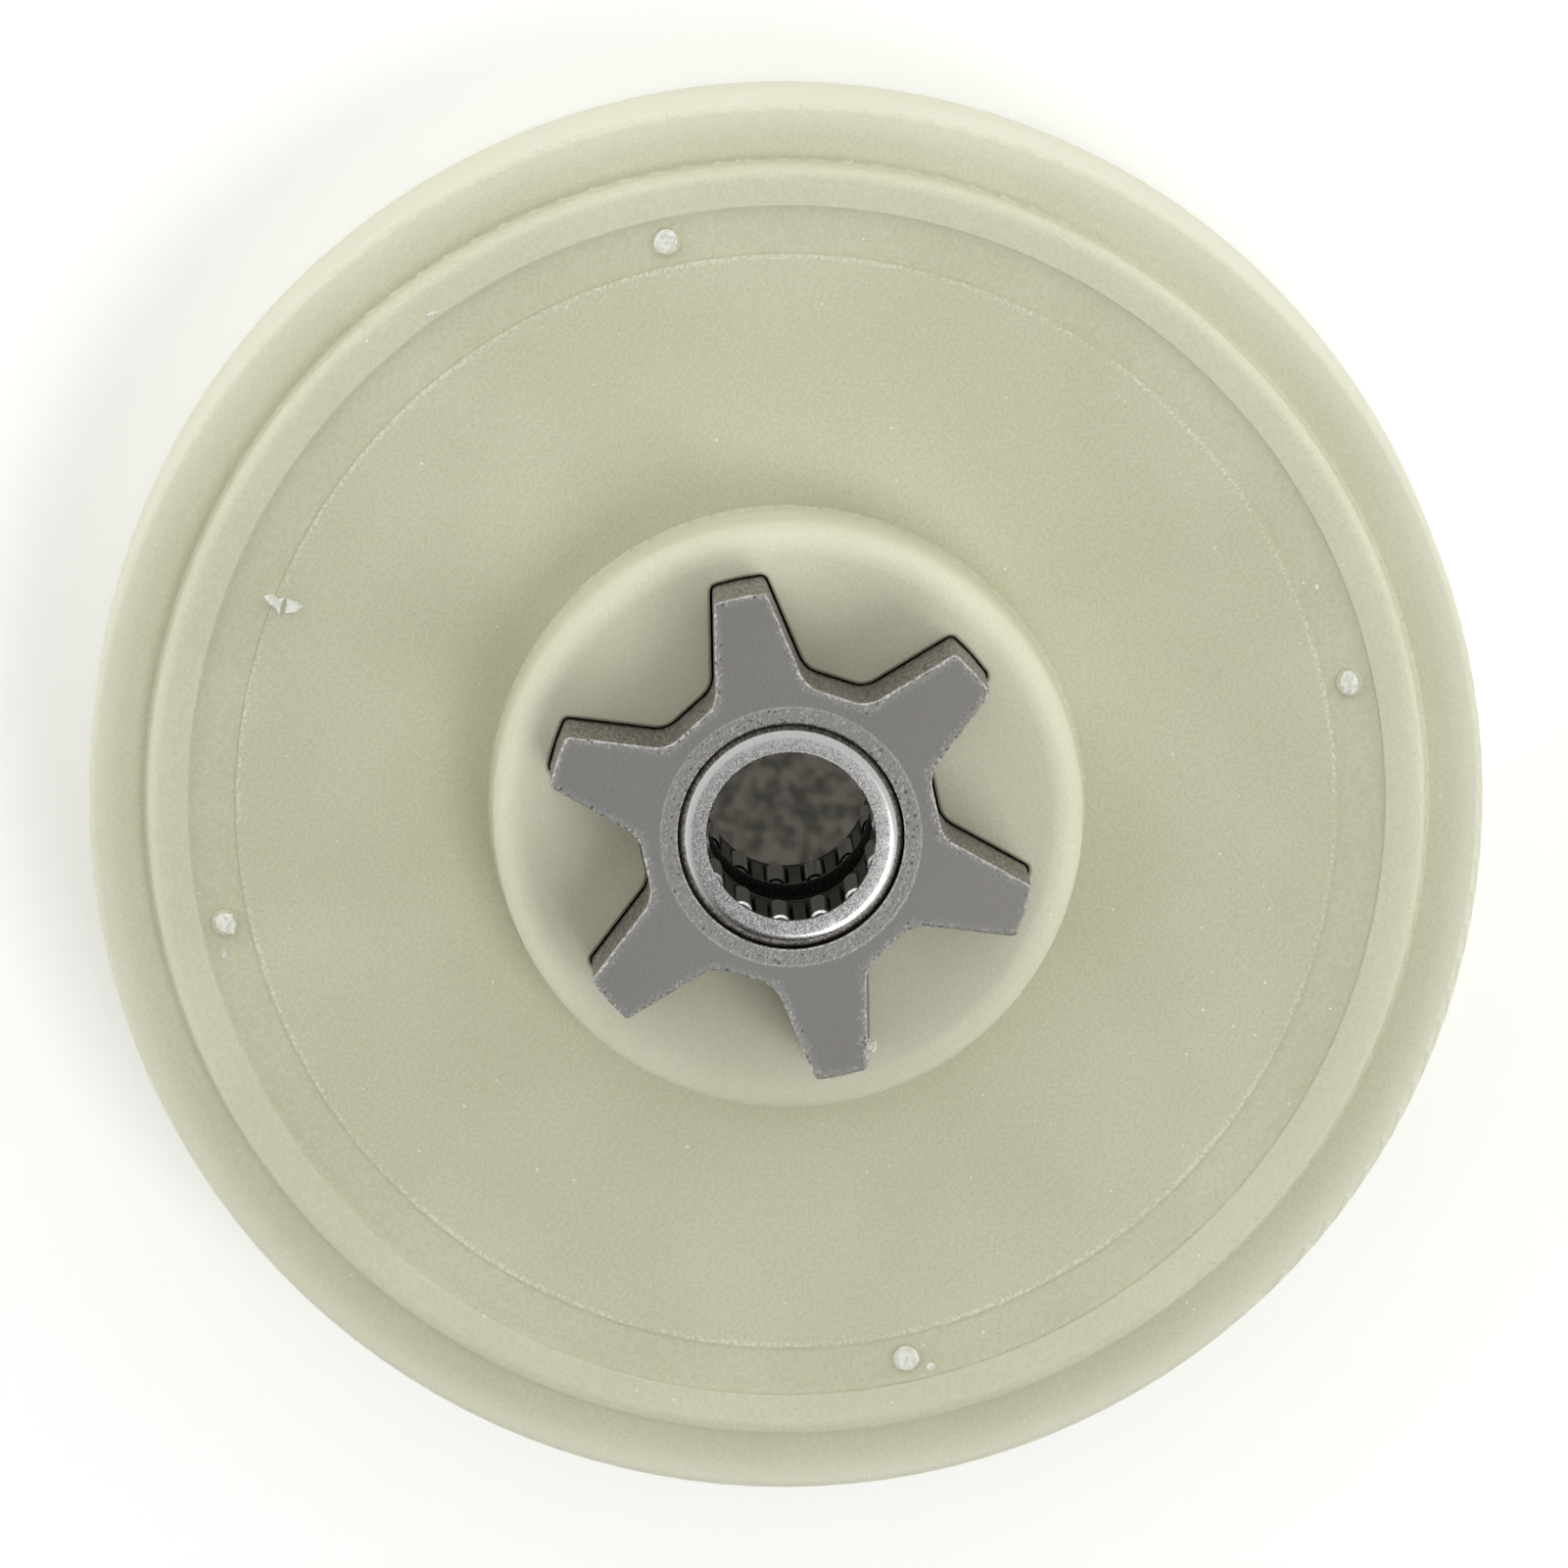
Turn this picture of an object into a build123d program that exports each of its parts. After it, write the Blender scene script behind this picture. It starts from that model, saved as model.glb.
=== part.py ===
"""Drive gear of an electric chainsaw.

A nylon ring gear is moulded round a sintered steel sprocket. Two drawn-cup needle bearings
are pressed into the sprocket's bore, one at each end, and run on a fixed spindle.

Sizes are in millimetres and angles in degrees. The gear's axis is Z, the back rim of the
ring stands on Z = 0, and the sprocket is at the top with one tooth along +X.
"""
from build123d import *
import os
from math import acos, cos, pi, radians, sin, tan

# Needle bearings, from the spindle outwards
spindle_d = 10.0
spindle_play = 0.06        # radial play between the spindle and the needles
needle_d = 1.5
needle_count = 14
needle_end_chamfer = 0.15
needle_phase = 15.8        # angle of each bearing's first needle at rest
raceway_play = 0.02        # radial play between the needles and the cup
cup_wall = 0.42
cup_length = 10.0
cup_corner = 0.9           # outside radius where the cup turns in to its lips
lip_cover = 0.2            # how far the lips stop outside the needles' inner circle
cage_wall = 0.95
cage_lip_gap = 0.05        # radial step from the lips out to the cage's inside
cage_end_gap = 0.15        # axial gap between the cage and each lip
cage_ring = 0.41           # axial width of the solid ring at each end of the cage
pocket_play = 0.06         # gap between a needle and the sides of its pocket in the cage
pocket_end_play = 0.1      # gap between a needle and the ends of its pocket

# Sprocket
sprocket_teeth = 6
seat_play = 0.03           # radial play modelled between a cup and its seat
sprocket_wall = 2.15       # steel left between the seat and the flat of a root
tooth_height = 6.07        # from the flat of a root to the circle of the tips
tip_width = 3.3
flank_angle = 10.8         # lean of each flank from the tooth's own axis
root_fillet = 1.8
tip_fillet = 0.35
tooth_exposed = 9.6        # from the nylon boss up to the sprocket's face
tooth_sunk = 9.0           # depth of the teeth inside the nylon
sleeve_wall = 1.97         # wall of the round sleeve below the teeth
bore_length = 28.6         # from the sprocket's face to the end of the sleeve
bearing_inset = 0.2        # how far each cup is pressed below its face
steel_edge_break = 0.15

# Moulded gear body
insert_gap = 0.15          # shrinkage gap between the nylon and the teeth
insert_play = 0.05         # radial play modelled between the nylon and the sleeve
pocket_lip_break = 0.15    # broken edge of the nylon round the teeth
boss_wall = 3.15           # nylon outside the tips of the teeth
boss_height = 8.13         # from the web to the boss's top
boss_draft = 1.0
boss_round = 2.0
boss_fillet = 0.3
hub_wall = 4.5             # nylon round the sleeve at the back
hub_draft = 1.5
hub_round = 0.8
hub_fillet = 1.5
sleeve_stand = 0.4         # how far the sleeve's end stands out of the hub
web_thickness = 4.0

# Ring and its internal teeth
ring_teeth = 60
ring_module = 1.25
pressure_angle = 20.0
addendum_share = 1.0       # tooth height inside the pitch circle, in modules
dedendum_share = 1.25      # tooth depth outside the pitch circle, in modules
root_crown_share = 0.2     # depth of the rounded bottom of a space, in modules
tooth_inset = 1.0          # plain land at the back, before the teeth begin
tooth_lead = 1.5           # length of the tapered ends of the teeth
land_step = 0.25           # how far the land clears the roots of the teeth
ring_wall = 5.09           # nylon outside the roots of the teeth
ring_height = 16.0         # from the back rim to the flange
ring_draft = 0.8
ring_edge = 0.4
flange_width = 3.95
flange_edge = 0.5

# Raised rim and the band inside it
rim_step = 2.0             # from the flange to the rim's top
rim_width = 2.55
rim_round = 0.9
rim_root_fillet = 0.35
rim_rise = 0.25            # from the band up to the rim's top
rim_inner_round = 0.1
band_corner_fillet = 0.08
band_width = 3.0
web_rise = 0.12            # small step from the band up to the web
gate_count = 4
gate_angle = 60.0
gate_d = 1.7
gate_rise = 0.2
gate_round = 0.1

# Radii that follow from the sizes above
needle_r = needle_d / 2
inscribed_r = spindle_d / 2 + spindle_play
pitch_r = inscribed_r + needle_r
raceway_r = inscribed_r + needle_d + raceway_play
cup_r = raceway_r + cup_wall
lip_r = inscribed_r + lip_cover
cage_inner_r = lip_r + cage_lip_gap
cage_outer_r = cage_inner_r + cage_wall
seat_r = cup_r + seat_play
root_flat = seat_r + sprocket_wall
tip_r = root_flat + tooth_height
sleeve_r = seat_r + sleeve_wall
boss_r = tip_r + boss_wall
boss_base_r = boss_r + boss_height * tan(radians(boss_draft))
hub_r = sleeve_r + hub_wall

ring_pitch_r = ring_module * ring_teeth / 2
ring_tip_r = ring_pitch_r - addendum_share * ring_module
ring_root_r = ring_pitch_r + dedendum_share * ring_module
ring_base_r = ring_pitch_r * cos(radians(pressure_angle))
land_r = ring_root_r + land_step
ring_outer_r = ring_root_r + ring_wall
flange_r = ring_outer_r - ring_height * tan(radians(ring_draft))
rim_outer_r = ring_outer_r - flange_width
rim_inner_r = rim_outer_r - rim_width
web_r = rim_inner_r - band_width
gate_circle_r = (rim_inner_r + web_r) / 2

# Heights that follow from the sizes above
rim_top = ring_height + rim_step
band_top = rim_top - rim_rise
web_top = band_top + web_rise
web_back = web_top - web_thickness
boss_top = web_top + boss_height
sprocket_top = boss_top + tooth_exposed
teeth_bottom = boss_top - tooth_sunk
sleeve_end = sprocket_top - bore_length
hub_back = sleeve_end + sleeve_stand
hub_base_r = hub_r + (web_back - hub_back) * tan(radians(hub_draft))
cage_length = cup_length - 2 * (cup_wall + cage_end_gap)
pocket_length = cage_length - 2 * cage_ring
needle_length = pocket_length - 2 * pocket_end_play
bearing_bottoms = {
    "upper": sprocket_top - bearing_inset - cup_length,
    "lower": sleeve_end + bearing_inset,
}


def save(piece: Part, name: str) -> None:
    """Label a finished piece and write it as one STEP file.

    Args:
        piece: The finished solid.
        name: The piece's label and file name.
    """
    piece.label = name
    export_step(piece, f"parts/{name}.step")


def involute(angle: float) -> float:
    """Return the involute function of an angle in radians."""
    return tan(angle) - angle


def space_half_angle(radius: float) -> float:
    """Return half the angle, in radians, of a space between ring teeth.

    Args:
        radius: Distance from the gear's axis, outside the base circle.

    Returns:
        The half angle of the involute space at that radius.
    """
    at_pitch = pi / (2 * ring_teeth)
    return at_pitch + involute(radians(pressure_angle)) - involute(acos(ring_base_r / radius))


def space_point(radius: float, side: int, angle_at: float | None = None) -> tuple[float, float]:
    """Return a point on one flank of the ring-tooth space that lies along +X.

    Args:
        radius: Distance of the point from the gear's axis.
        side: 1 for the flank on the +Y side, -1 for the other one.
        angle_at: Radius whose half angle is used, if it isn't the point's own.

    Returns:
        The point's X and Y.
    """
    angle = side * space_half_angle(radius if angle_at is None else angle_at)
    return radius * cos(angle), radius * sin(angle)


os.makedirs("parts", exist_ok=True)

# Outline of the sprocket: a hexagon of root flats with six tapered teeth
with BuildSketch() as sprocket_outline:
    RegularPolygon(root_flat, sprocket_teeth, major_radius=False)
    core_half = tip_width / 2 + tip_r * tan(radians(flank_angle))
    with PolarLocations(0, sprocket_teeth):
        Polygon(
            (0, -core_half), (tip_r, -tip_width / 2), (tip_r, tip_width / 2), (0, core_half),
            align=None,
        )
    Circle(tip_r, mode=Mode.INTERSECT)
    corners = sprocket_outline.vertices().group_by(SortBy.DISTANCE)
    fillet(corners[0], root_fillet)
    fillet(sprocket_outline.vertices().group_by(SortBy.DISTANCE)[-1], tip_fillet)

# One space between the ring's teeth, open towards the axis
with BuildSketch() as ring_space:
    crown_r = ring_root_r - root_crown_share * ring_module
    mouth_r = ring_tip_r - ring_module
    with BuildLine():
        for side in (-1, 1):
            ThreePointArc(
                space_point(ring_tip_r, side),
                space_point(ring_pitch_r, side),
                space_point(crown_r, side),
            )
            Line(space_point(mouth_r, side, ring_tip_r), space_point(ring_tip_r, side))
        ThreePointArc(space_point(crown_r, -1), (ring_root_r, 0), space_point(crown_r, 1))
        Line(space_point(mouth_r, -1, ring_tip_r), space_point(mouth_r, 1, ring_tip_r))
    make_face()

# Half section of the moulding: each corner with the radius that rounds it
body_section = [
    ((land_r, 0), ring_edge),
    ((ring_outer_r, 0), ring_edge),
    ((flange_r, ring_height), flange_edge),
    ((rim_outer_r, ring_height), rim_root_fillet),
    ((rim_outer_r, rim_top), rim_round),
    ((rim_inner_r, rim_top), rim_inner_round),
    ((rim_inner_r, band_top), band_corner_fillet),
    ((web_r, band_top), 0),
    ((web_r, web_top), 0),
    ((boss_base_r, web_top), boss_fillet),
    ((boss_r, boss_top), boss_round),
    ((sleeve_r + insert_play, boss_top), 0),
    ((sleeve_r + insert_play, hub_back), 0),
    ((hub_r, hub_back), hub_round),
    ((hub_base_r, web_back), hub_fillet),
    ((ring_tip_r, web_back), 0),
    ((ring_tip_r, tooth_inset + tooth_lead), 0),
    ((land_r, tooth_inset), 0),
]

with BuildPart() as gear_body:
    with BuildSketch(Plane.XZ):
        with BuildLine():
            FilletPolyline(
                [corner for corner, _ in body_section],
                radius=[radius for _, radius in body_section],
                close=True,
            )
        make_face()
    revolve(axis=Axis.Z)
    with BuildSketch():
        with PolarLocations(0, ring_teeth):
            add(ring_space.sketch)
    extrude(amount=web_back, mode=Mode.SUBTRACT)
    with BuildSketch(Plane.XY.offset(teeth_bottom)):
        add(sprocket_outline.sketch)
        offset(amount=insert_gap)
    extrude(amount=tooth_sunk, mode=Mode.SUBTRACT)
    chamfer(gear_body.edges(Select.LAST).group_by(Axis.Z)[-1], pocket_lip_break)
    with BuildSketch(Plane.XY.offset(band_top)):
        with PolarLocations(gate_circle_r, gate_count, start_angle=gate_angle):
            Circle(gate_d / 2)
    extrude(amount=gate_rise)
    fillet(gear_body.edges(Select.LAST).group_by(Axis.Z)[-1], gate_round)
save(gear_body.part, "gear_body")

with BuildPart() as drive_sprocket:
    with BuildSketch(Plane.XY.offset(teeth_bottom)):
        add(sprocket_outline.sketch)
    extrude(amount=sprocket_top - teeth_bottom)
    chamfer(drive_sprocket.edges().group_by(Axis.Z)[-1], steel_edge_break)
    with BuildSketch(Plane.XY.offset(sleeve_end)):
        Circle(sleeve_r)
    extrude(amount=teeth_bottom - sleeve_end)
    with BuildSketch(Plane.XY.offset(sleeve_end)):
        Circle(seat_r)
    extrude(amount=bore_length, mode=Mode.SUBTRACT)
    bore_mouths = drive_sprocket.edges(Select.LAST).filter_by(GeomType.CIRCLE)
    chamfer(bore_mouths, steel_edge_break)
save(drive_sprocket.part, "drive_sprocket")

for bearing, bottom in bearing_bottoms.items():
    top = bottom + cup_length
    cup_section = [
        ((lip_r, bottom), 0),
        ((cup_r, bottom), cup_corner),
        ((cup_r, top), cup_corner),
        ((lip_r, top), 0),
        ((lip_r, top - cup_wall), 0),
        ((raceway_r, top - cup_wall), cup_corner - cup_wall),
        ((raceway_r, bottom + cup_wall), cup_corner - cup_wall),
        ((lip_r, bottom + cup_wall), 0),
    ]
    with BuildPart() as bearing_cup:
        with BuildSketch(Plane.XZ):
            with BuildLine():
                FilletPolyline(
                    [corner for corner, _ in cup_section],
                    radius=[radius for _, radius in cup_section],
                    close=True,
                )
            make_face()
        revolve(axis=Axis.Z)
    save(bearing_cup.part, f"{bearing}_bearing_cup")

    cage_bottom = bottom + cup_wall + cage_end_gap
    middle = bottom + cup_length / 2
    with BuildPart() as bearing_cage:
        with BuildSketch(Plane.XY.offset(cage_bottom)):
            Circle(cage_outer_r)
            Circle(cage_inner_r, mode=Mode.SUBTRACT)
        extrude(amount=cage_length)
        with BuildSketch(Plane.XY.offset(middle)):
            with PolarLocations(pitch_r, needle_count, start_angle=needle_phase):
                Rectangle(needle_d, needle_d + 2 * pocket_play)
        extrude(amount=pocket_length / 2, both=True, mode=Mode.SUBTRACT)
    save(bearing_cage.part, f"{bearing}_bearing_cage")

    for index in range(needle_count):
        angle = needle_phase + index * 360 / needle_count
        with BuildPart() as needle:
            with BuildSketch(Plane.XY.offset(middle)):
                with PolarLocations(pitch_r, 1, start_angle=angle):
                    Circle(needle_r)
            extrude(amount=needle_length / 2, both=True)
            chamfer(needle.edges().filter_by(GeomType.CIRCLE), needle_end_chamfer)
        save(needle.part, f"{bearing}_needle_{index + 1:02d}")
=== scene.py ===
"""Drive gear of an electric chainsaw: the dressed model and its studio.

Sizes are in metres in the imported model's frame, unless a class says millimetres. The gear's axis
is Z, the back rim of the ring stands on Z = 0, the sprocket is at the top and one of its teeth
points along +X.
"""

import logging
import math
from dataclasses import dataclass, field
from enum import Enum

import bmesh
import bpy
from mathutils import Matrix, Vector, noise


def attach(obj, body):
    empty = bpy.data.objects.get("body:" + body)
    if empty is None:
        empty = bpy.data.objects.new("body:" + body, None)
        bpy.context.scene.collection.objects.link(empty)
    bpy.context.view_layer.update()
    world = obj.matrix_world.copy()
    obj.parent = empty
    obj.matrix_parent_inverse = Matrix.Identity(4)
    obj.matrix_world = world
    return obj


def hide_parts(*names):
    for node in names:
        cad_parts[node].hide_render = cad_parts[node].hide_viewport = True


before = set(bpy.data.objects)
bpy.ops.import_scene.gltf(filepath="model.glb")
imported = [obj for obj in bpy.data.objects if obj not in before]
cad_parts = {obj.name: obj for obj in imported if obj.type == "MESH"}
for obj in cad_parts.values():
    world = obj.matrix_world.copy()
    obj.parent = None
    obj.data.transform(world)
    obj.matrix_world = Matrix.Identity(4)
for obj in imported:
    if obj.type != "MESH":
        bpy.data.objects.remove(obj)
log = logging.getLogger("drive_gear")

MM = 0.001
GEAR = "gear"
ORIGIN = (0, 0, 0)
AXIS = (0, 0, 1)
Colour = tuple[float, float, float, float]
Value = bpy.types.NodeSocket | float | Colour
Outline = tuple[tuple[float, float], ...]


class Slot(Enum):
    """The record's material slots."""

    NYLON = "nylon"
    SINTERED_STEEL = "sintered_steel"
    BEARING_STEEL = "bearing_steel"
    CAGE_STEEL = "cage_steel"
    NEEDLE_STEEL = "needle_steel"


class BearingEnd(Enum):
    """The two needle bearings in the sprocket's bore."""

    UPPER = "upper"
    LOWER = "lower"


def grey(level: float, warmth: float = 0.0) -> Colour:
    """Return a grey as a colour, warmer in red and weaker in blue by a share."""
    return (level * (1 + warmth), level, level * (1 - 2 * warmth), 1.0)


class NodeBoard:
    """A node tree with short ways to add and join its nodes."""

    MIX_UNDER, MIX_OVER, MIX_RESULT = 6, 7, 2

    def __init__(self, tree: bpy.types.NodeTree) -> None:
        """Keep the tree that the nodes go into."""
        self.tree = tree

    def add(self, kind: str, inputs: dict[str | int, Value] | None = None,
            **settings: object) -> bpy.types.Node:
        """Add a node and fill its inputs.

        Args:
            kind: The node's type, without the words ShaderNode.
            inputs: Values or sockets for its inputs, by name or number.
            settings: Values of the node's own properties.

        Returns:
            The new node.
        """
        node = self.tree.nodes.new(f"ShaderNode{kind}")
        for name, value in settings.items():
            setattr(node, name, value)
        for name, value in (inputs or {}).items():
            self.feed(node.inputs[name], value)
        return node

    def feed(self, socket: bpy.types.NodeSocket, value: Value) -> None:
        """Fill an input.

        Args:
            socket: The input.
            value: A socket to join to it, or its own value.
        """
        if isinstance(value, bpy.types.NodeSocket):
            self.tree.links.new(value, socket)
        else:
            socket.default_value = value

    def plain(self, operation: str, first: Value, second: Value = 0.0) -> bpy.types.NodeSocket:
        """Return two values joined by an operation, with any size."""
        return self.add("Math", {0: first, 1: second}, operation=operation).outputs[0]

    def math(self, operation: str, first: Value, second: Value = 0.0) -> bpy.types.NodeSocket:
        """Return two values joined by an operation and clamped to 0 to 1."""
        node = self.add("Math", {0: first, 1: second}, operation=operation, use_clamp=True)
        return node.outputs[0]

    def times(self, first: Value, second: Value) -> bpy.types.NodeSocket:
        """Return the product of two masks."""
        return self.math("MULTIPLY", first, second)

    def rest(self, mask: Value) -> bpy.types.NodeSocket:
        """Return what a mask leaves of 1."""
        return self.math("SUBTRACT", 1.0, mask)

    def step(self, value: Value, low: float, high: float) -> bpy.types.NodeSocket:
        """Return 0 below low and 1 above high, with a smooth rise between them."""
        return self.add("MapRange", {"Value": value, "From Min": low, "From Max": high},
                        interpolation_type="SMOOTHSTEP").outputs["Result"]

    def rise(self, value: Value, middle: float, half: float) -> bpy.types.NodeSocket:
        """Return a smooth rise from 0 to 1 over a half width each side of a middle."""
        return self.step(value, middle - half, middle + half)

    def spread(self, value: Value, low: float, high: float) -> bpy.types.NodeSocket:
        """Return a value from 0 to 1 as one from low to high."""
        node = self.add("MapRange", {"Value": value, "To Min": low, "To Max": high})
        return node.outputs["Result"]

    def mix(self, share: Value, under: Value, over: Value) -> bpy.types.NodeSocket:
        """Return a colour with a share of another over it."""
        inputs = {0: share, self.MIX_UNDER: under, self.MIX_OVER: over}
        return self.add("Mix", inputs, data_type="RGBA").outputs[self.MIX_RESULT]

    def millimetres(self) -> bpy.types.NodeSocket:
        """Return the piece's own coordinates in millimetres."""
        place = self.add("TexCoord").outputs["Object"]
        return self.add("VectorMath", {0: place, "Scale": 1 / MM}, operation="SCALE").outputs[0]

    def height(self) -> bpy.types.NodeSocket:
        """Return a point's height along the axis, in millimetres."""
        return self.add("SeparateXYZ", {0: self.millimetres()}).outputs["Z"]

    def drawn_out(self, place: Value, share: Value) -> bpy.types.NodeSocket:
        """Return a place with its height along the axis scaled by a share."""
        factors = self.add("CombineXYZ", {0: 1.0, 1: 1.0, 2: share}).outputs[0]
        return self.add("VectorMath", {0: place, 1: factors}, operation="MULTIPLY").outputs[0]

    def along(self, way: Value, axis: tuple[float, float, float]) -> bpy.types.NodeSocket:
        """Return how far a direction goes along an axis."""
        return self.add("VectorMath", {0: way, 1: axis}, operation="DOT_PRODUCT").outputs["Value"]


class Effects:
    """Surface effects that several finishes share, each one shader node group."""

    WIDE_SCALE = 0.09
    CRISP_SHARE, DRIFT_SHARE = 0.62, 0.38
    ODD_FROM, ODD_SIZE = 0.97, 0.6

    def __init__(self) -> None:
        """Build each group once."""
        self.grain = self._grain()
        self.specks = self._specks()
        self.edges = self._edges()
        self.axis = self._axis()

    @staticmethod
    def _group(name: str, inputs: tuple[str, ...], outputs: tuple[str, ...]) -> tuple[
            bpy.types.NodeTree, NodeBoard, dict[str, bpy.types.NodeSocket], bpy.types.Node]:
        """Start a node group of plain values.

        Args:
            name: The group's name.
            inputs: Names of its inputs.
            outputs: Names of its outputs.

        Returns:
            The tree, its board, its inputs by name, and its output node.
        """
        tree = bpy.data.node_groups.new(name, "ShaderNodeTree")
        for socket in inputs:
            made = tree.interface.new_socket(socket, in_out="INPUT", socket_type="NodeSocketFloat")
            made.default_value = 1.0
        for socket in outputs:
            tree.interface.new_socket(socket, in_out="OUTPUT", socket_type="NodeSocketFloat")
        start = tree.nodes.new("NodeGroupInput")
        end = tree.nodes.new("NodeGroupOutput")
        return tree, NodeBoard(tree), {s: start.outputs[s] for s in inputs}, end

    def _grain(self) -> bpy.types.NodeTree:
        """Build the group of a fine moulded or pressed grain.

        Per Millimetre is the number of grains in a millimetre, and Along Axis that number's share
        along Z, below 1 for grains drawn out by a die. Height and Tint run from 0 to 1.

        Returns:
            The group.
        """
        tree, board, given, end = self._group(
            "grain", ("Per Millimetre", "Along Axis"), ("Height", "Tint"))
        place = board.millimetres()
        drawn = board.drawn_out(place, given["Along Axis"])
        fine = board.add("TexNoise", {"Vector": drawn, "Scale": given["Per Millimetre"],
                                      "Detail": 1.0, "Roughness": 0.6})
        wide = board.add("TexNoise", {"Vector": place, "Scale": self.WIDE_SCALE,
                                      "Detail": 1.0, "Roughness": 0.55})
        crisp = board.step(fine.outputs["Fac"], 0.32, 0.68)
        drift = board.step(wide.outputs["Fac"], 0.3, 0.7)
        board.feed(end.inputs["Height"], crisp)
        board.feed(end.inputs["Tint"], board.math("ADD", board.times(crisp, self.CRISP_SHARE),
                                                  board.times(drift, self.DRIFT_SHARE)))
        return tree

    def _specks(self) -> bpy.types.NodeTree:
        """Build the group of scattered round specks.

        Per Millimetre is the number of cells in a millimetre, Along Axis its share along Z, Radius
        the largest speck in cells and Share the part of the cells that hold one. Mask is 1 on a
        speck, and Odd on the centres of a few other cells.

        Returns:
            The group.
        """
        tree, board, given, end = self._group(
            "specks", ("Per Millimetre", "Along Axis", "Radius", "Share"), ("Mask", "Odd"))
        place = board.drawn_out(board.millimetres(), given["Along Axis"])
        cells = board.add("TexVoronoi", {"Vector": place, "Scale": given["Per Millimetre"]})
        distance = cells.outputs["Distance"]
        pick = board.add("SeparateColor", {0: cells.outputs["Color"]}).outputs
        size = board.times(pick["Green"], given["Radius"])
        kept = board.math("LESS_THAN", pick["Red"], given["Share"])
        inside = board.math("LESS_THAN", distance, size)
        few = board.math("GREATER_THAN", pick["Red"], self.ODD_FROM)
        centre = board.math("LESS_THAN", distance, board.times(size, self.ODD_SIZE))
        board.feed(end.inputs["Mask"], board.times(kept, inside))
        board.feed(end.inputs["Odd"], board.times(few, centre))
        return tree

    def _edges(self) -> bpy.types.NodeTree:
        """Build the group that tells a turned piece's faces from its broken edges.

        Face is 1 where the surface looks along the axis, Wall where it looks across it, and
        Edge on the slopes between, in broken runs.

        Returns:
            The group.
        """
        tree, board, _, end = self._group("rubbed_edges", (), ("Face", "Wall", "Edge"))
        facing = board.add("SeparateXYZ", {0: board.add("TexCoord").outputs["Normal"]})
        tilt = board.plain("ABSOLUTE", facing.outputs["Z"])
        face = board.step(tilt, 0.9, 0.97)
        wall = board.rest(board.step(tilt, 0.12, 0.3))
        slope = board.math("SUBTRACT", board.rest(face), wall)
        runs = board.add("TexNoise", {"Vector": board.millimetres(), "Scale": 3.4, "Detail": 3.0,
                                      "Roughness": 0.75})
        broken = board.step(runs.outputs["Fac"], 0.42, 0.6)
        board.feed(end.inputs["Face"], face)
        board.feed(end.inputs["Wall"], wall)
        board.feed(end.inputs["Edge"], board.times(slope, broken))
        return tree

    def _axis(self) -> bpy.types.NodeTree:
        """Build the group of a point's distance from the gear's axis, in millimetres.

        Returns:
            The group.
        """
        tree, board, _, end = self._group("from_axis", (), ("Radius",))
        place = board.add("SeparateXYZ", {0: board.millimetres()})
        flat = board.add("CombineXYZ", {0: place.outputs["X"], 1: place.outputs["Y"]})
        reach = board.add("VectorMath", {0: flat.outputs[0]}, operation="LENGTH")
        board.feed(end.inputs["Radius"], reach.outputs["Value"])
        return tree


class Finish:
    """A finish: one procedural material built around a Principled shader."""

    name = "finish"

    def material(self, effects: Effects) -> bpy.types.Material:
        """Build the material.

        Args:
            effects: The shared node groups.

        Returns:
            The finished material.
        """
        made = bpy.data.materials.new(self.name)
        made.use_nodes = True
        made.node_tree.nodes.clear()
        board = NodeBoard(made.node_tree)
        shader = board.add("BsdfPrincipled")
        self.dress(board, shader, effects)
        board.add("OutputMaterial", {"Surface": shader.outputs[0]})
        return made

    def dress(self, board: NodeBoard, shader: bpy.types.Node, effects: Effects) -> None:
        """Feed the shader; each finish has its own."""
        raise NotImplementedError

    @staticmethod
    def effect(board: NodeBoard, group: bpy.types.NodeTree, **inputs: float) -> bpy.types.Node:
        """Place a shared effect in a material.

        Args:
            board: The material's board.
            group: The effect's node group.
            inputs: Its values, with underscores for the spaces in their names.

        Returns:
            The group node.
        """
        node = board.add("Group", node_tree=group)
        for name, value in inputs.items():
            node.inputs[name.replace("_", " ").title()].default_value = value
        return node

    @staticmethod
    def bump(board: NodeBoard, shader: bpy.types.Node, height: Value, depth: float,
             strength: float) -> None:
        """Feed a height to the shader's normal.

        Args:
            board: The material's board.
            shader: The Principled shader.
            height: The height, from 0 to 1.
            depth: What a height of 1 stands for, in metres.
            strength: How strongly the bump shows.
        """
        node = board.add("Bump", {"Height": height, "Distance": depth, "Strength": strength})
        board.feed(shader.inputs["Normal"], node.outputs[0])


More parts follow.
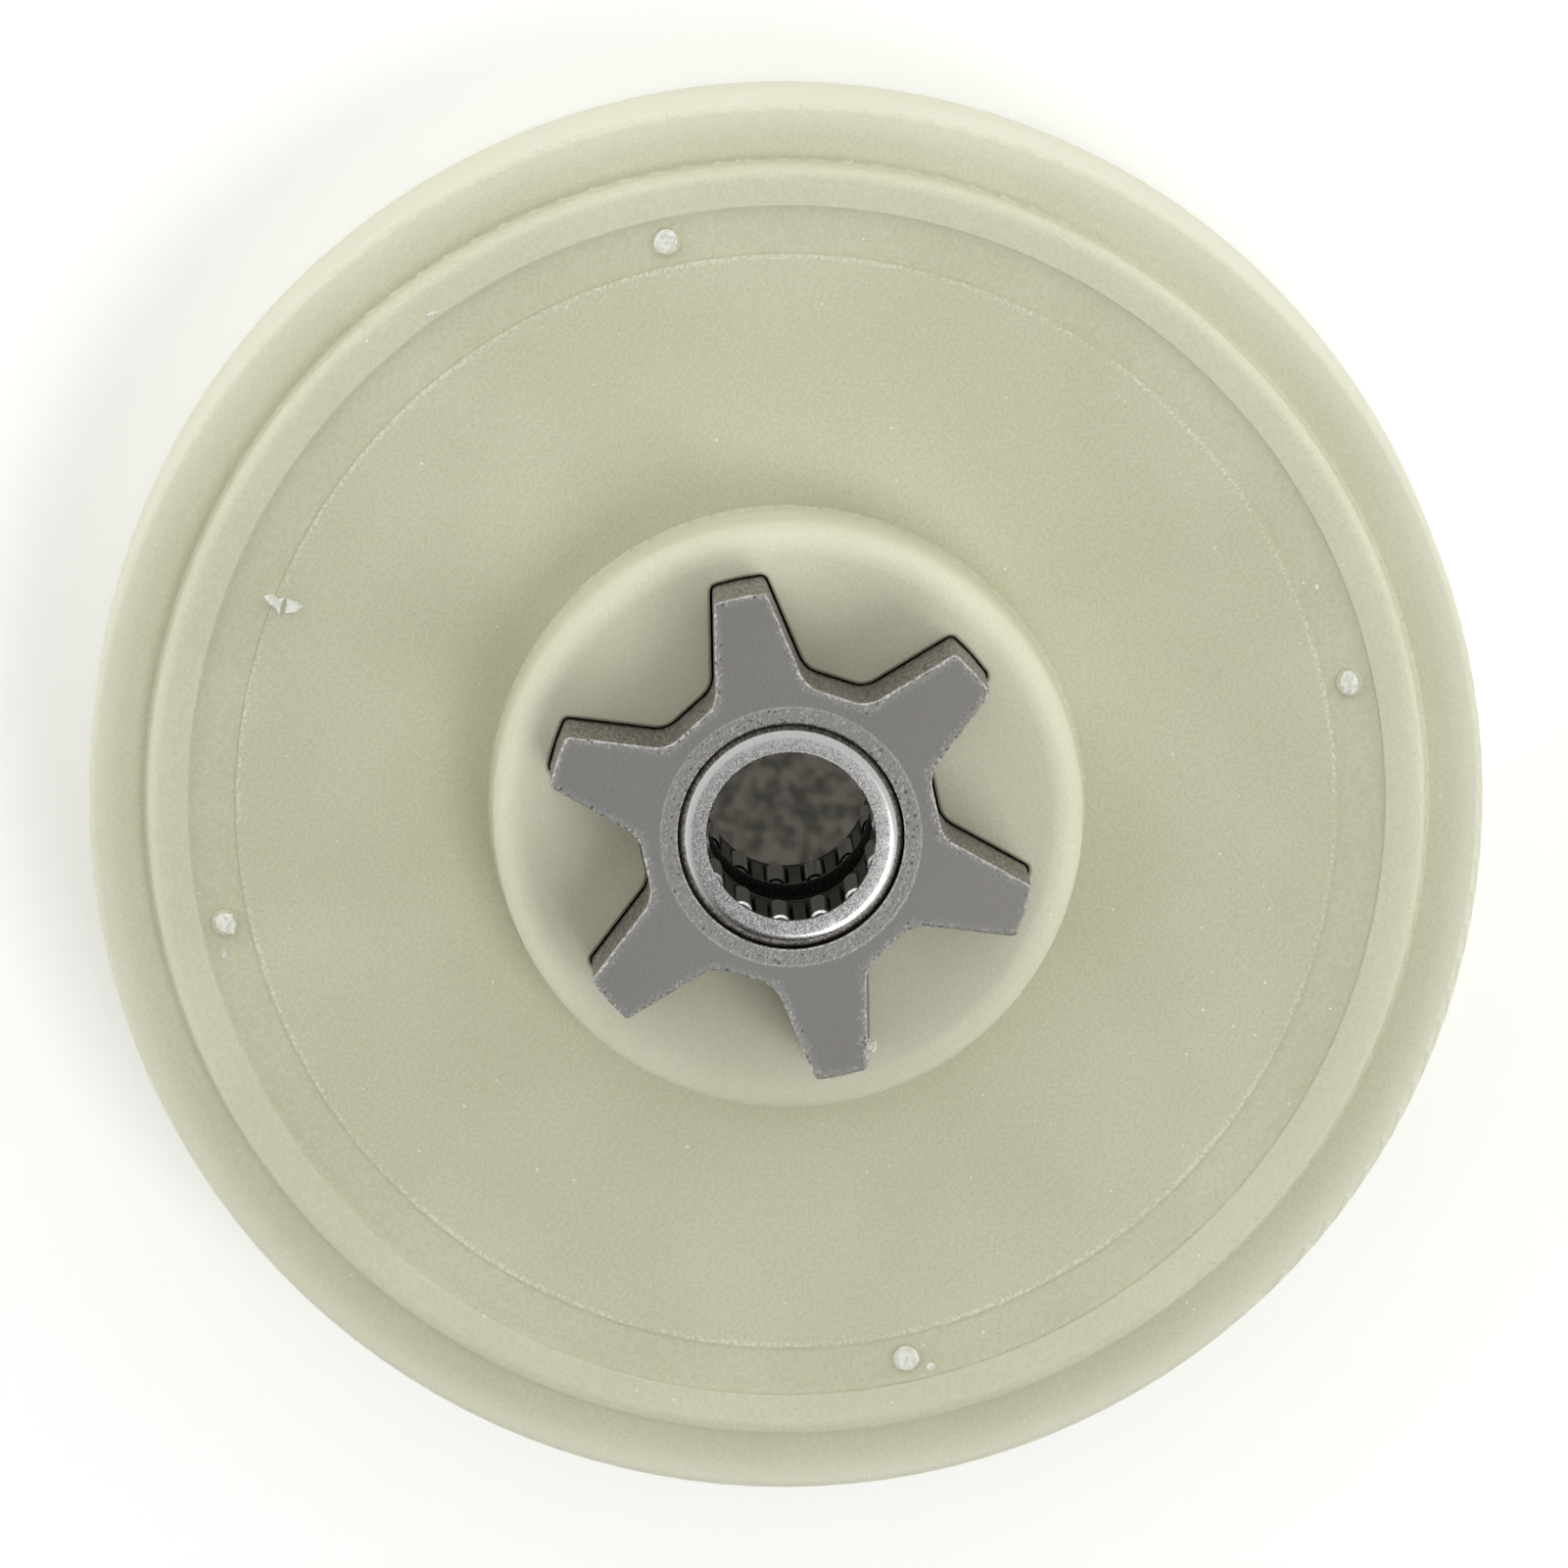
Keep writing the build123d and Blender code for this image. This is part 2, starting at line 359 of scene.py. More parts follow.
@dataclass(frozen=True)
class NaturalNylon(Finish):
    """Unpainted glass-filled nylon with a fine mould grain, pale specks and a little depth.

    The rim, the outer edge and the boss carry a painted glow that stands in for light through the
    translucent nylon. Edges and heights on the gear are in millimetres.
    """

    name: str = "natural_nylon"
    shade: Colour = (0.513, 0.513, 0.362, 1.0)
    light: Colour = (0.598, 0.595, 0.445, 1.0)
    # Painted glow colour for the rim, the outer edge and the boss, standing in for light through the
    # nylon.
    pale: Colour = (0.74, 0.735, 0.60, 1.0)
    pale_speck: Colour = (0.80, 0.80, 0.70, 1.0)
    dark_speck: Colour = (0.20, 0.19, 0.13, 1.0)
    # Painted highlight colour for the small step at the web's edge.
    edge_highlight: Colour = (0.74, 0.74, 0.62, 1.0)
    web_edge: float = 34.5
    rim_edge: float = 37.4
    outer_edge: float = 42.4
    boss_height: float = 22.5
    # Strengths of the painted glow on the rim, the outer edge and the boss.
    rim_glow: float = 0.2
    outer_glow: float = 0.25
    boss_glow: float = 0.33
    # Strength of the painted highlight round the web's edge.
    highlight_share: float = 0.55
    pale_share: float = 0.75
    dark_share: float = 0.55
    translucency: float = 0.3
    depth: float = 4.5 * MM

    def web_edge_highlight(self, board: NodeBoard, radius: Value, patchy_face: Value) -> bpy.types.NodeSocket:
        """Mask the painted highlight along the small step at the web's edge.

        Args:
            board: The material's board.
            radius: The distance from the axis.
            patchy_face: Where the painted highlight shows, in patches on faces that look along the
                axis.

        Returns:
            The mask.
        """
        inner = board.step(radius, self.web_edge - 0.22, self.web_edge - 0.1)
        outer = board.step(radius, self.web_edge + 0.06, self.web_edge + 0.16)
        line = board.times(inner, board.rest(outer))
        return board.times(board.times(line, patchy_face), self.highlight_share)

    def painted_glow(self, board: NodeBoard, radius: Value) -> bpy.types.NodeSocket:
        """Mask the painted glow on the rim, the outer edge and the boss, which stands in for light
        through the translucent nylon.

        Args:
            board: The material's board.
            radius: The distance from the axis.

        Returns:
            The mask.
        """
        rim = board.times(self.rim_glow, board.rise(radius, self.rim_edge, 0.4))
        outer = board.times(self.outer_glow, board.rise(radius, self.outer_edge, 0.8))
        boss = board.times(self.boss_glow, board.rise(board.height(), self.boss_height, 3.0))
        return board.math("ADD", boss, board.math("ADD", rim, outer))

    def dress(self, board: NodeBoard, shader: bpy.types.Node, effects: Effects) -> None:
        """Feed the shader with grain, specks, a painted highlight round the web's edge, a painted
        glow on the rim, outer edge and boss, and translucency.

        Args:
            board: The material's board.
            shader: The Principled shader.
            effects: The shared node groups.
        """
        grain = self.effect(board, effects.grain, per_millimetre=4.2).outputs
        specks = self.effect(board, effects.specks, per_millimetre=1.5, radius=0.15,
                             share=0.13).outputs
        radius = self.effect(board, effects.axis).outputs["Radius"]
        face = self.effect(board, effects.edges).outputs["Face"]
        # Patches on faces that look along the axis, where the painted highlight round the web's edge
        # shows.
        patchy_face = board.times(face, board.step(grain["Tint"], 0.35, 0.8))
        colour = board.mix(grain["Tint"], self.shade, self.light)
        # The first two layers are painted light: a glow on the rim, outer edge and boss, and a
        # highlight round the web's edge.
        for mask, over in (
            (self.painted_glow(board, radius), self.pale),
            (self.web_edge_highlight(board, radius, patchy_face), self.edge_highlight),
            (board.times(specks["Mask"], self.pale_share), self.pale_speck),
            (board.times(specks["Odd"], self.dark_share), self.dark_speck),
        ):
            colour = board.mix(mask, colour, over)
        board.feed(shader.inputs["Base Color"], colour)
        board.feed(shader.inputs["Roughness"], board.spread(grain["Height"], 0.42, 0.58))
        board.feed(shader.inputs["Specular IOR Level"], 0.38)
        board.feed(shader.inputs["Subsurface Weight"], self.translucency)
        board.feed(shader.inputs["Subsurface Radius"], (1.0, 1.0, 1.35))
        board.feed(shader.inputs["Subsurface Scale"], self.depth)
        self.bump(board, shader, grain["Height"], 0.03 * MM, 0.25)


@dataclass(frozen=True)
class TornNylon(Finish):
    """Nylon that whitened where it was torn or scuffed."""

    name: str = "torn_nylon"
    shade: Colour = (0.62, 0.62, 0.53, 1.0)
    light: Colour = (0.80, 0.80, 0.74, 1.0)

    def dress(self, board: NodeBoard, shader: bpy.types.Node, effects: Effects) -> None:
        """Feed the shader with a coarse, patchy white.

        Args:
            board: The material's board.
            shader: The Principled shader.
            effects: The shared node groups.
        """
        grain = self.effect(board, effects.grain, per_millimetre=2.6).outputs
        board.feed(shader.inputs["Base Color"], board.mix(grain["Height"], self.shade, self.light))
        board.feed(shader.inputs["Roughness"], board.spread(grain["Tint"], 0.5, 0.7))
        self.bump(board, shader, grain["Height"], 0.02 * MM, 0.4)


@dataclass(frozen=True)
class ToothForm:
    """The sprocket's outline; its sizes are in millimetres."""

    teeth: int = 6
    root_flat: float = 9.18
    tip_radius: float = 15.25
    tip_width: float = 3.3
    flank_angle: float = math.radians(10.8)
    root_fillet: float = 1.8
    tip_fillet: float = 0.35

    def depth(self, board: NodeBoard) -> bpy.types.NodeSocket:
        """Work out how far inside the outline a point is, in millimetres.

        Args:
            board: The material's board.

        Returns:
            The distance's socket, above 0 inside the outline.
        """
        place = board.add("SeparateXYZ", {0: board.millimetres()}).outputs
        reach = board.plain("POWER", board.plain(
            "ADD", board.plain("MULTIPLY", place["X"], place["X"]),
            board.plain("MULTIPLY", place["Y"], place["Y"])), 0.5)
        sector = math.pi / self.teeth
        turn = board.plain("PINGPONG", board.plain("ARCTAN2", place["Y"], place["X"]), sector)
        along = board.plain("MULTIPLY", reach, board.plain("COSINE", turn))
        across = board.plain("MULTIPLY", reach, board.plain("SINE", turn))
        lean = math.tan(self.flank_angle)
        edge = self.tip_width / 2 + self.tip_radius * lean
        half_width = board.plain("SUBTRACT", edge, board.plain("MULTIPLY", along, lean))
        flank = board.plain("MULTIPLY", board.plain("SUBTRACT", half_width, across),
                            math.cos(self.flank_angle))
        tooth = board.plain("MINIMUM", flank, board.plain("SUBTRACT", self.tip_radius, reach))
        root = board.plain("SUBTRACT", self.root_flat, board.plain(
            "ADD", board.plain("MULTIPLY", along, math.cos(sector)),
            board.plain("MULTIPLY", across, math.sin(sector))))
        return board.plain("MAXIMUM", tooth, root)


@dataclass(frozen=True)
class SinteredSteel(Finish):
    """Sintered steel: a smoothed satin face, porous walls and bright chipped edges.

    The seat ring and the border are in millimetres.
    """

    form: ToothForm = ToothForm()
    name: str = "sintered_steel"
    face: Colour = grey(0.205, 0.035)
    face_light: Colour = grey(0.245, 0.035)
    wall_dark: Colour = grey(0.115, 0.06)
    wall_light: Colour = grey(0.30, 0.05)
    edge: Colour = grey(0.44, 0.02)
    crumb: Colour = grey(0.40, 0.02)
    pit: Colour = grey(0.07, 0.04)
    seat_ring: float = 8.05
    border: float = 0.62
    ragged: float = 0.35
    crumb_share: float = 0.2
    bright_share: float = 0.6
    pit_share: float = 0.7

    def near_edge(self, board: NodeBoard, wander: Value) -> bpy.types.NodeSocket:
        """Mask the border inside the outline.

        Args:
            board: The material's board.
            wander: A value from 0 to 1 that makes the border's inner line uneven.

        Returns:
            The mask.
        """
        uneven = self.ragged * self.border
        inside = board.plain("ADD", self.form.depth(board), board.spread(wander, -uneven, uneven))
        return board.rest(board.step(inside, uneven, self.border))

    def seat_line(self, board: NodeBoard, radius: Value) -> bpy.types.NodeSocket:
        """Mask the fine line round the bearing's seat.

        Args:
            board: The material's board.
            radius: The distance from the axis.

        Returns:
            The mask.
        """
        inner = board.step(radius, self.seat_ring - 0.12, self.seat_ring - 0.02)
        outer = board.step(radius, self.seat_ring + 0.02, self.seat_ring + 0.12)
        return board.math("SUBTRACT", inner, outer)

    def dress(self, board: NodeBoard, shader: bpy.types.Node, effects: Effects) -> None:
        """Feed the shader, with the face, its border, the walls, edges and seat told apart.

        Args:
            board: The material's board.
            shader: The Principled shader.
            effects: The shared node groups.
        """
        zones = self.effect(board, effects.edges).outputs
        grain = self.effect(board, effects.grain, per_millimetre=7.0).outputs
        pores = self.effect(board, effects.grain, per_millimetre=4.6, along_axis=0.34).outputs
        pits = self.effect(board, effects.specks, per_millimetre=3.4, along_axis=0.4, radius=0.4,
                           share=0.36).outputs["Mask"]
        crumbs = self.effect(board, effects.specks, per_millimetre=5.2, radius=0.7,
                             share=0.5).outputs["Mask"]
        radius = self.effect(board, effects.axis).outputs["Radius"]
        face, off_face = zones["Face"], board.rest(zones["Face"])
        ring = board.times(face, board.rest(board.rise(radius, self.seat_ring, 0.1)))
        coarse = board.math("ADD", ring, self.near_edge(board, pores["Tint"]))
        base = board.mix(grain["Tint"], self.face, self.face_light)
        base = board.mix(board.times(coarse, self.crumb_share), base, self.crumb)
        wall = board.mix(pores["Height"], self.wall_dark, self.wall_light)
        line = board.times(board.times(self.seat_line(board, radius), face), pores["Tint"])
        bright = board.times(board.times(crumbs, board.times(coarse, face)), self.bright_share)
        pitted = board.times(pits, board.math("ADD", coarse, off_face))
        colour = board.mix(zones["Wall"], base, wall)
        colour = board.mix(board.math("MAXIMUM", line, bright), colour, self.crumb)
        colour = board.mix(zones["Edge"], colour, self.edge)
        colour = board.mix(board.times(pitted, self.pit_share), colour, self.pit)
        board.feed(shader.inputs["Base Color"], colour)
        board.feed(shader.inputs["Metallic"], 1.0)
        board.feed(shader.inputs["Roughness"], board.spread(grain["Height"], 0.44, 0.58))
        open_grain = board.math("ADD", off_face, board.times(coarse, 0.3))
        rough = board.times(pores["Height"], board.spread(open_grain, 0.1, 1.0))
        self.bump(board, shader, rough, 0.05 * MM, 0.5)


@dataclass(frozen=True)
class BearingSteel(Finish):
    """Bright drawn steel with faint rings from tumbling, and painted shade down in the bore.

    The painted shade's top line is a height in millimetres.
    """

    name: str = "bearing_steel"
    # Painted shade: the cup's colour deep in the bore, below the shade line.
    bore_shade: Colour = grey(0.09, 0.05)
    shade_line: float = 33.0
    shade: Colour = grey(0.71, 0.01)
    light: Colour = grey(0.79, 0.01)
    grain_share: float = 0.6
    ring_share: float = 0.4

    def dress(self, board: NodeBoard, shader: bpy.types.Node, effects: Effects) -> None:
        """Feed the shader with a fine brushed tone and painted shade down in the bore.

        Args:
            board: The material's board.
            shader: The Principled shader.
            effects: The shared node groups.
        """
        grain = self.effect(board, effects.grain, per_millimetre=11.0).outputs
        radius = self.effect(board, effects.axis).outputs["Radius"]
        rings = board.add("TexNoise", {"W": radius, "Scale": 9.0, "Detail": 2.0},
                          noise_dimensions="1D").outputs["Fac"]
        tone = board.math("ADD", board.times(grain["Tint"], self.grain_share),
                          board.times(rings, self.ring_share))
        # Painted shade: the cup turns dark below the shade line, down in the bore.
        above_shade = board.rise(board.height(), self.shade_line, 1.0)
        colour = board.mix(above_shade, self.bore_shade, board.mix(tone, self.shade, self.light))
        board.feed(shader.inputs["Base Color"], colour)
        board.feed(shader.inputs["Metallic"], 1.0)
        board.feed(shader.inputs["Roughness"], board.spread(grain["Height"], 0.2, 0.3))
        self.bump(board, shader, tone, 0.006 * MM, 0.15)


@dataclass(frozen=True)
class NeedleSteel(Finish):
    """Ground and oiled needle steel."""

    name: str = "needle_steel"
    shade: Colour = grey(0.55, 0.01)
    light: Colour = grey(0.72, 0.01)

    def dress(self, board: NodeBoard, shader: bpy.types.Node, effects: Effects) -> None:
        """Feed the shader with a fine ground tone.

        Args:
            board: The material's board.
            shader: The Principled shader.
            effects: The shared node groups.
        """
        grain = self.effect(board, effects.grain, per_millimetre=8.0).outputs
        board.feed(shader.inputs["Base Color"], board.mix(grain["Tint"], self.shade, self.light))
        board.feed(shader.inputs["Metallic"], 1.0)
        board.feed(shader.inputs["Roughness"], board.spread(grain["Height"], 0.12, 0.22))


@dataclass(frozen=True)
class CageSteel(Finish):
    """Dull pressed steel with an oil film."""

    name: str = "cage_steel"
    shade: Colour = grey(0.05, 0.04)
    light: Colour = grey(0.13, 0.04)
    film: float = 0.4

    def dress(self, board: NodeBoard, shader: bpy.types.Node, effects: Effects) -> None:
        """Feed the shader with a dark, uneven tone.

        Args:
            board: The material's board.
            shader: The Principled shader.
            effects: The shared node groups.
        """
        grain = self.effect(board, effects.grain, per_millimetre=3.0).outputs
        board.feed(shader.inputs["Base Color"], board.mix(grain["Tint"], self.shade, self.light))
        board.feed(shader.inputs["Metallic"], 1.0)
        board.feed(shader.inputs["Roughness"], board.spread(grain["Tint"], 0.3, 0.5))
        board.feed(shader.inputs["Coat Weight"], board.times(grain["Height"], self.film))


@dataclass(frozen=True)
class StudioFloor(Finish):
    """Plain pale floor, white to the camera outside the gear, with a painted dim glow under its
    bore.

    The gear's radius is in millimetres.
    """

    name: str = "studio_floor"
    pale: Colour = (0.86, 0.86, 0.85, 1.0)
    # Painted glow colours under the gear, seen through its bore.
    bore_glow_dark: Colour = (0.030, 0.028, 0.021, 1.0)
    bore_glow_light: Colour = (0.085, 0.08, 0.065, 1.0)
    gear_radius: float = 44.0
    white: Colour = (0.22, 0.22, 0.22, 1.0)

    def dress(self, board: NodeBoard, shader: bpy.types.Node, effects: Effects) -> None:
        """Feed the shader, and lift the floor to white for rays that see it directly, with a painted
        dim glow under the gear.

        Args:
            board: The material's board.
            shader: The Principled shader.
            effects: The shared node groups.
        """
        grain = self.effect(board, effects.grain, per_millimetre=0.7).outputs
        radius = self.effect(board, effects.axis).outputs["Radius"]
        outside = board.step(radius, self.gear_radius - 2.0, self.gear_radius)
        # Painted light: a dim mottled glow under the gear, seen through its bore.
        bore_glow = board.mix(grain["Height"], self.bore_glow_dark, self.bore_glow_light)
        path = board.add("LightPath").outputs
        seen = board.math("MAXIMUM", path["Is Camera Ray"],
                          board.math("MAXIMUM", path["Is Glossy Ray"], path["Is Transmission Ray"]))
        board.feed(shader.inputs["Base Color"], self.pale)
        board.feed(shader.inputs["Roughness"], 0.9)
        board.feed(shader.inputs["Emission Color"], board.mix(outside, bore_glow, self.white))
        board.feed(shader.inputs["Emission Strength"], seen)


class Piece:
    """Ways to turn a bmesh into a finished piece of the gear."""

    @staticmethod
    def finish(mesh: bmesh.types.BMesh, name: str, body: str, slot: Slot,
               material: bpy.types.Material, stands_for: tuple[str, ...] = (),
               crease: float = 34.0) -> None:
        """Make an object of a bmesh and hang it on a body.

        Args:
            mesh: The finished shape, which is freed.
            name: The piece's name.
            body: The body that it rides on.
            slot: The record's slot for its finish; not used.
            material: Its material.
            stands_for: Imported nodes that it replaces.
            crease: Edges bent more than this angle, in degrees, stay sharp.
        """
        for face in mesh.faces:
            face.smooth = True
        for edge in mesh.edges:
            edge.smooth = edge.calc_face_angle(0.0) < math.radians(crease)
        data = bpy.data.meshes.new(name)
        mesh.to_mesh(data)
        mesh.free()
        data.materials.append(material)
        piece = bpy.data.objects.new(name, data)
        bpy.context.scene.collection.objects.link(piece)
        even = piece.modifiers.new("even_normals", "WEIGHTED_NORMAL")
        even.keep_sharp = True
        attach(piece, body)
        if stands_for:
            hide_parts(*stands_for)
        log.info("%s rides on %s with %d faces", name, body, len(data.polygons))

    @staticmethod
    def merged(node: str) -> bmesh.types.BMesh:
        """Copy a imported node's shape, with its loose triangles merged.

        Args:
            node: The node's name.

        Returns:
            The merged copy.
        """
        mesh = bmesh.new()
        mesh.from_mesh(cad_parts[node].data)
        bmesh.ops.remove_doubles(mesh, verts=mesh.verts, dist=0.0005 * MM)
        return mesh

    @staticmethod
    def turned(mesh: bmesh.types.BMesh, profile: Outline, steps: int) -> list[bmesh.types.BMEdge]:
        """Turn a profile once round the axis.

        Args:
            mesh: The bmesh to add the surface to.
            profile: Pairs of a radius and a height, from one end of the profile to the other.
            steps: The number of steps in the round.

        Returns:
            The surface's edges.
        """
        before = set(mesh.edges)
        points = [mesh.verts.new((radius, 0.0, height)) for radius, height in profile]
        lines = [mesh.edges.new(pair) for pair in zip(points, points[1:])]
        bmesh.ops.spin(mesh, geom=points + lines, cent=ORIGIN, axis=AXIS, angle=math.tau,
                       steps=steps, use_merge=True)
        return [edge for edge in mesh.edges if edge not in before]


@dataclass
class GearBody:
    """The moulded ring gear with its flange, rim, web and boss."""

    node: str = "gear_body"

    def build(self, nylon: bpy.types.Material) -> None:
        """Dress the moulding."""
        Piece.finish(Piece.merged(self.node), "ring_gear_moulding", GEAR, Slot.NYLON, nylon,
                     (self.node,))


@dataclass
class DriveSprocket:
    """The six-tooth sprocket, with chipped edges round its face."""

    form: ToothForm = ToothForm()
    seat_radius: float = 7.03 * MM
    sleeve_radius: float = 9.0 * MM
    face_height: float = 35.599 * MM
    teeth_bottom: float = 17.0 * MM
    sleeve_end: float = 7.0 * MM
    edge_break: float = 0.1 * MM
    chip: float = 0.2 * MM
    chip_fall: float = 0.8
    step: float = 0.2 * MM
    round_steps: int = 128
    fillet_steps: int = 8

    def outline(self, mesh: bmesh.types.BMesh) -> bmesh.types.BMFace:
        """Draw the sprocket's outline at the bottom of its teeth.

        Args:
            mesh: The bmesh to draw in.

        Returns:
            The outline's face, with rounded corners and short edges.
        """
        form = self.form
        half, tip, root_flat = form.tip_width * MM / 2, form.tip_radius * MM, form.root_flat * MM
        sector, lean = math.pi / form.teeth, math.tan(form.flank_angle)
        tip_x = math.sqrt(tip ** 2 - half ** 2)
        corner = root_flat / math.cos(sector)
        slant = math.tan(sector)
        root_y = (half + (tip - corner) * lean) / (1 - slant * lean)
        root_x = corner - root_y * slant
        flat = Matrix.Rotation(sector, 3, "Z") @ Vector((root_flat, 0, 0))
        half_tooth = [(tip, 0), (tip_x, half), (root_x, root_y), flat.xy]
        sides = [[mesh.verts.new((x, side * y, self.teeth_bottom)) for x, y in half_tooth]
                 for side in (1, -1)]
        lines = [mesh.edges.new(pair) for run in sides for pair in zip(run, run[1:])]
        bmesh.ops.spin(mesh, geom=sides[0] + sides[1] + lines, cent=ORIGIN, axis=AXIS,
                       angle=math.tau, steps=form.teeth, use_duplicate=True)
        bmesh.ops.remove_doubles(mesh, verts=mesh.verts, dist=0.001 * MM)
        bmesh.ops.contextual_create(mesh, geom=mesh.edges[:])
        square = math.pi / 2 - form.flank_angle
        for radius, fillet, bend in (
            (math.hypot(root_x, root_y), form.root_fillet * MM, square - sector),
            (tip, form.tip_fillet * MM, square),
        ):
            chosen = [v for v in mesh.verts if abs(v.co.xy.length - radius) < 0.01 * MM
                      and abs(v.calc_edge_angle(0.0)) > math.radians(20)]
            bmesh.ops.bevel(mesh, geom=chosen, offset=fillet * math.tan(bend / 2),
                            affect="VERTICES", segments=self.fillet_steps, profile=0.5, material=-1)
        for edge in mesh.edges[:]:
            cuts = int(edge.calc_length() / self.step)
            if cuts:
                bmesh.ops.subdivide_edges(mesh, edges=[edge], cuts=cuts)
        return next(iter(mesh.faces))

    def chip_edges(self, lip: list[bmesh.types.BMVert]) -> None:
        """Wear the broken edge unevenly, as pressed powder crumbles.

        Args:
            lip: Points at the border of the face, each joined to one at the top of a wall.
        """
        for point in lip:
            below = min((v for e in point.link_edges for v in e.verts), key=lambda v: v.co.z)
            inward = (point.co - below.co).xy.normalized()
            place = point.co / MM
            chunk = noise.noise(Vector((place.x * 1.3, place.y * 1.3, 3.0)))
            crumb = noise.noise(Vector((place.x * 4.1, place.y * 4.1, 11.0)))
            depth = self.chip * min(1.2, max(0.0, 0.1 + 0.8 * chunk + 0.9 * crumb))
            point.co.xy += inward * depth
            below.co.z -= self.chip_fall * depth

    def turn_inside(self, mesh: bmesh.types.BMesh) -> tuple[list[bmesh.types.BMEdge],
                                                           list[bmesh.types.BMEdge]]:
        """Turn the bore, the sleeve's end and the sleeve as one surface.

        Args:
            mesh: The bmesh to add them to.

        Returns:
            The edges of the bore's mouth and those at the top of the sleeve.
        """
        break_r = self.seat_radius + self.edge_break
        profile = ((break_r, self.face_height),
                   (self.seat_radius, self.face_height - self.edge_break),
                   (self.seat_radius, self.sleeve_end + self.edge_break),
                   (break_r, self.sleeve_end),
                   (self.sleeve_radius - self.edge_break, self.sleeve_end),
                   (self.sleeve_radius, self.sleeve_end + self.edge_break),
                   (self.sleeve_radius, self.teeth_bottom))
        loose = [e for e in Piece.turned(mesh, profile, self.round_steps) if e.is_boundary]
        middle = (self.face_height + self.teeth_bottom) / 2
        return ([e for e in loose if e.verts[0].co.z > middle],
                [e for e in loose if e.verts[0].co.z < middle])

    def build(self, steel: bpy.types.Material) -> None:
        """Model and dress the sprocket.

        Args:
            steel: The sintered steel's material.
        """
        mesh = bmesh.new()
        face = self.outline(mesh)
        foot = list(face.edges)
        raised = bmesh.ops.extrude_face_region(mesh, geom=[face])["geom"]
        top = next(part for part in raised if isinstance(part, bmesh.types.BMFace))
        rise = self.face_height - self.edge_break - self.teeth_bottom
        bmesh.ops.translate(mesh, verts=top.verts, vec=(0, 0, rise))
        bmesh.ops.inset_region(mesh, faces=[top], thickness=self.edge_break, depth=0.0,
                               use_even_offset=True)
        bmesh.ops.translate(mesh, verts=top.verts, vec=(0, 0, self.edge_break))
        inner = list(top.edges)
        self.chip_edges(list(top.verts))
        bmesh.ops.delete(mesh, geom=[f for f in mesh.faces if len(f.verts) > 4],
                         context="FACES_ONLY")
        mouth, collar = self.turn_inside(mesh)
        for outside, hole in ((inner, mouth), (foot, collar)):
            bmesh.ops.triangle_fill(mesh, use_beauty=True, edges=outside + hole)
        bmesh.ops.recalc_face_normals(mesh, faces=mesh.faces)
        Piece.finish(mesh, "chain_sprocket", GEAR, Slot.SINTERED_STEEL, steel, ("drive_sprocket",),
                     crease=12.0)


@dataclass
class NeedleBearing:
    """A drawn-cup needle bearing: the cup, the cage and its needles."""

    end: BearingEnd
    needles: int = 14

    def build(self, cup: bpy.types.Material, cage: bpy.types.Material,
              needle: bpy.types.Material) -> None:
        """Dress the bearing's pieces.

        Args:
            cup: The cup's material.
            cage: The cage's material.
            needle: The needles' material.
        """
        name = self.end.value
        node = f"{name}_bearing_cup"
        Piece.finish(Piece.merged(node), f"{name}_drawn_cup", GEAR, Slot.BEARING_STEEL, cup, (node,))
        node = f"{name}_bearing_cage"
        Piece.finish(Piece.merged(node), f"{name}_pocket_cage", f"{name}_cage", Slot.CAGE_STEEL,
                     cage, (node,))
        for index in range(1, self.needles + 1):
            node = f"{name}_needle_{index:02d}"
            Piece.finish(Piece.merged(node), f"{name}_roller_{index:02d}", node, Slot.NEEDLE_STEEL,
                         needle, (node,))


@dataclass(frozen=True)
class Scar:
    """One torn or trimmed spot of nylon; its size and place are in millimetres."""

    name: str
    place: tuple[float, float, float]
    reach: tuple[float, float]
    height: float
    turn: float = 0.0
    hollow: float = 0.0
    rough: float = 0.12


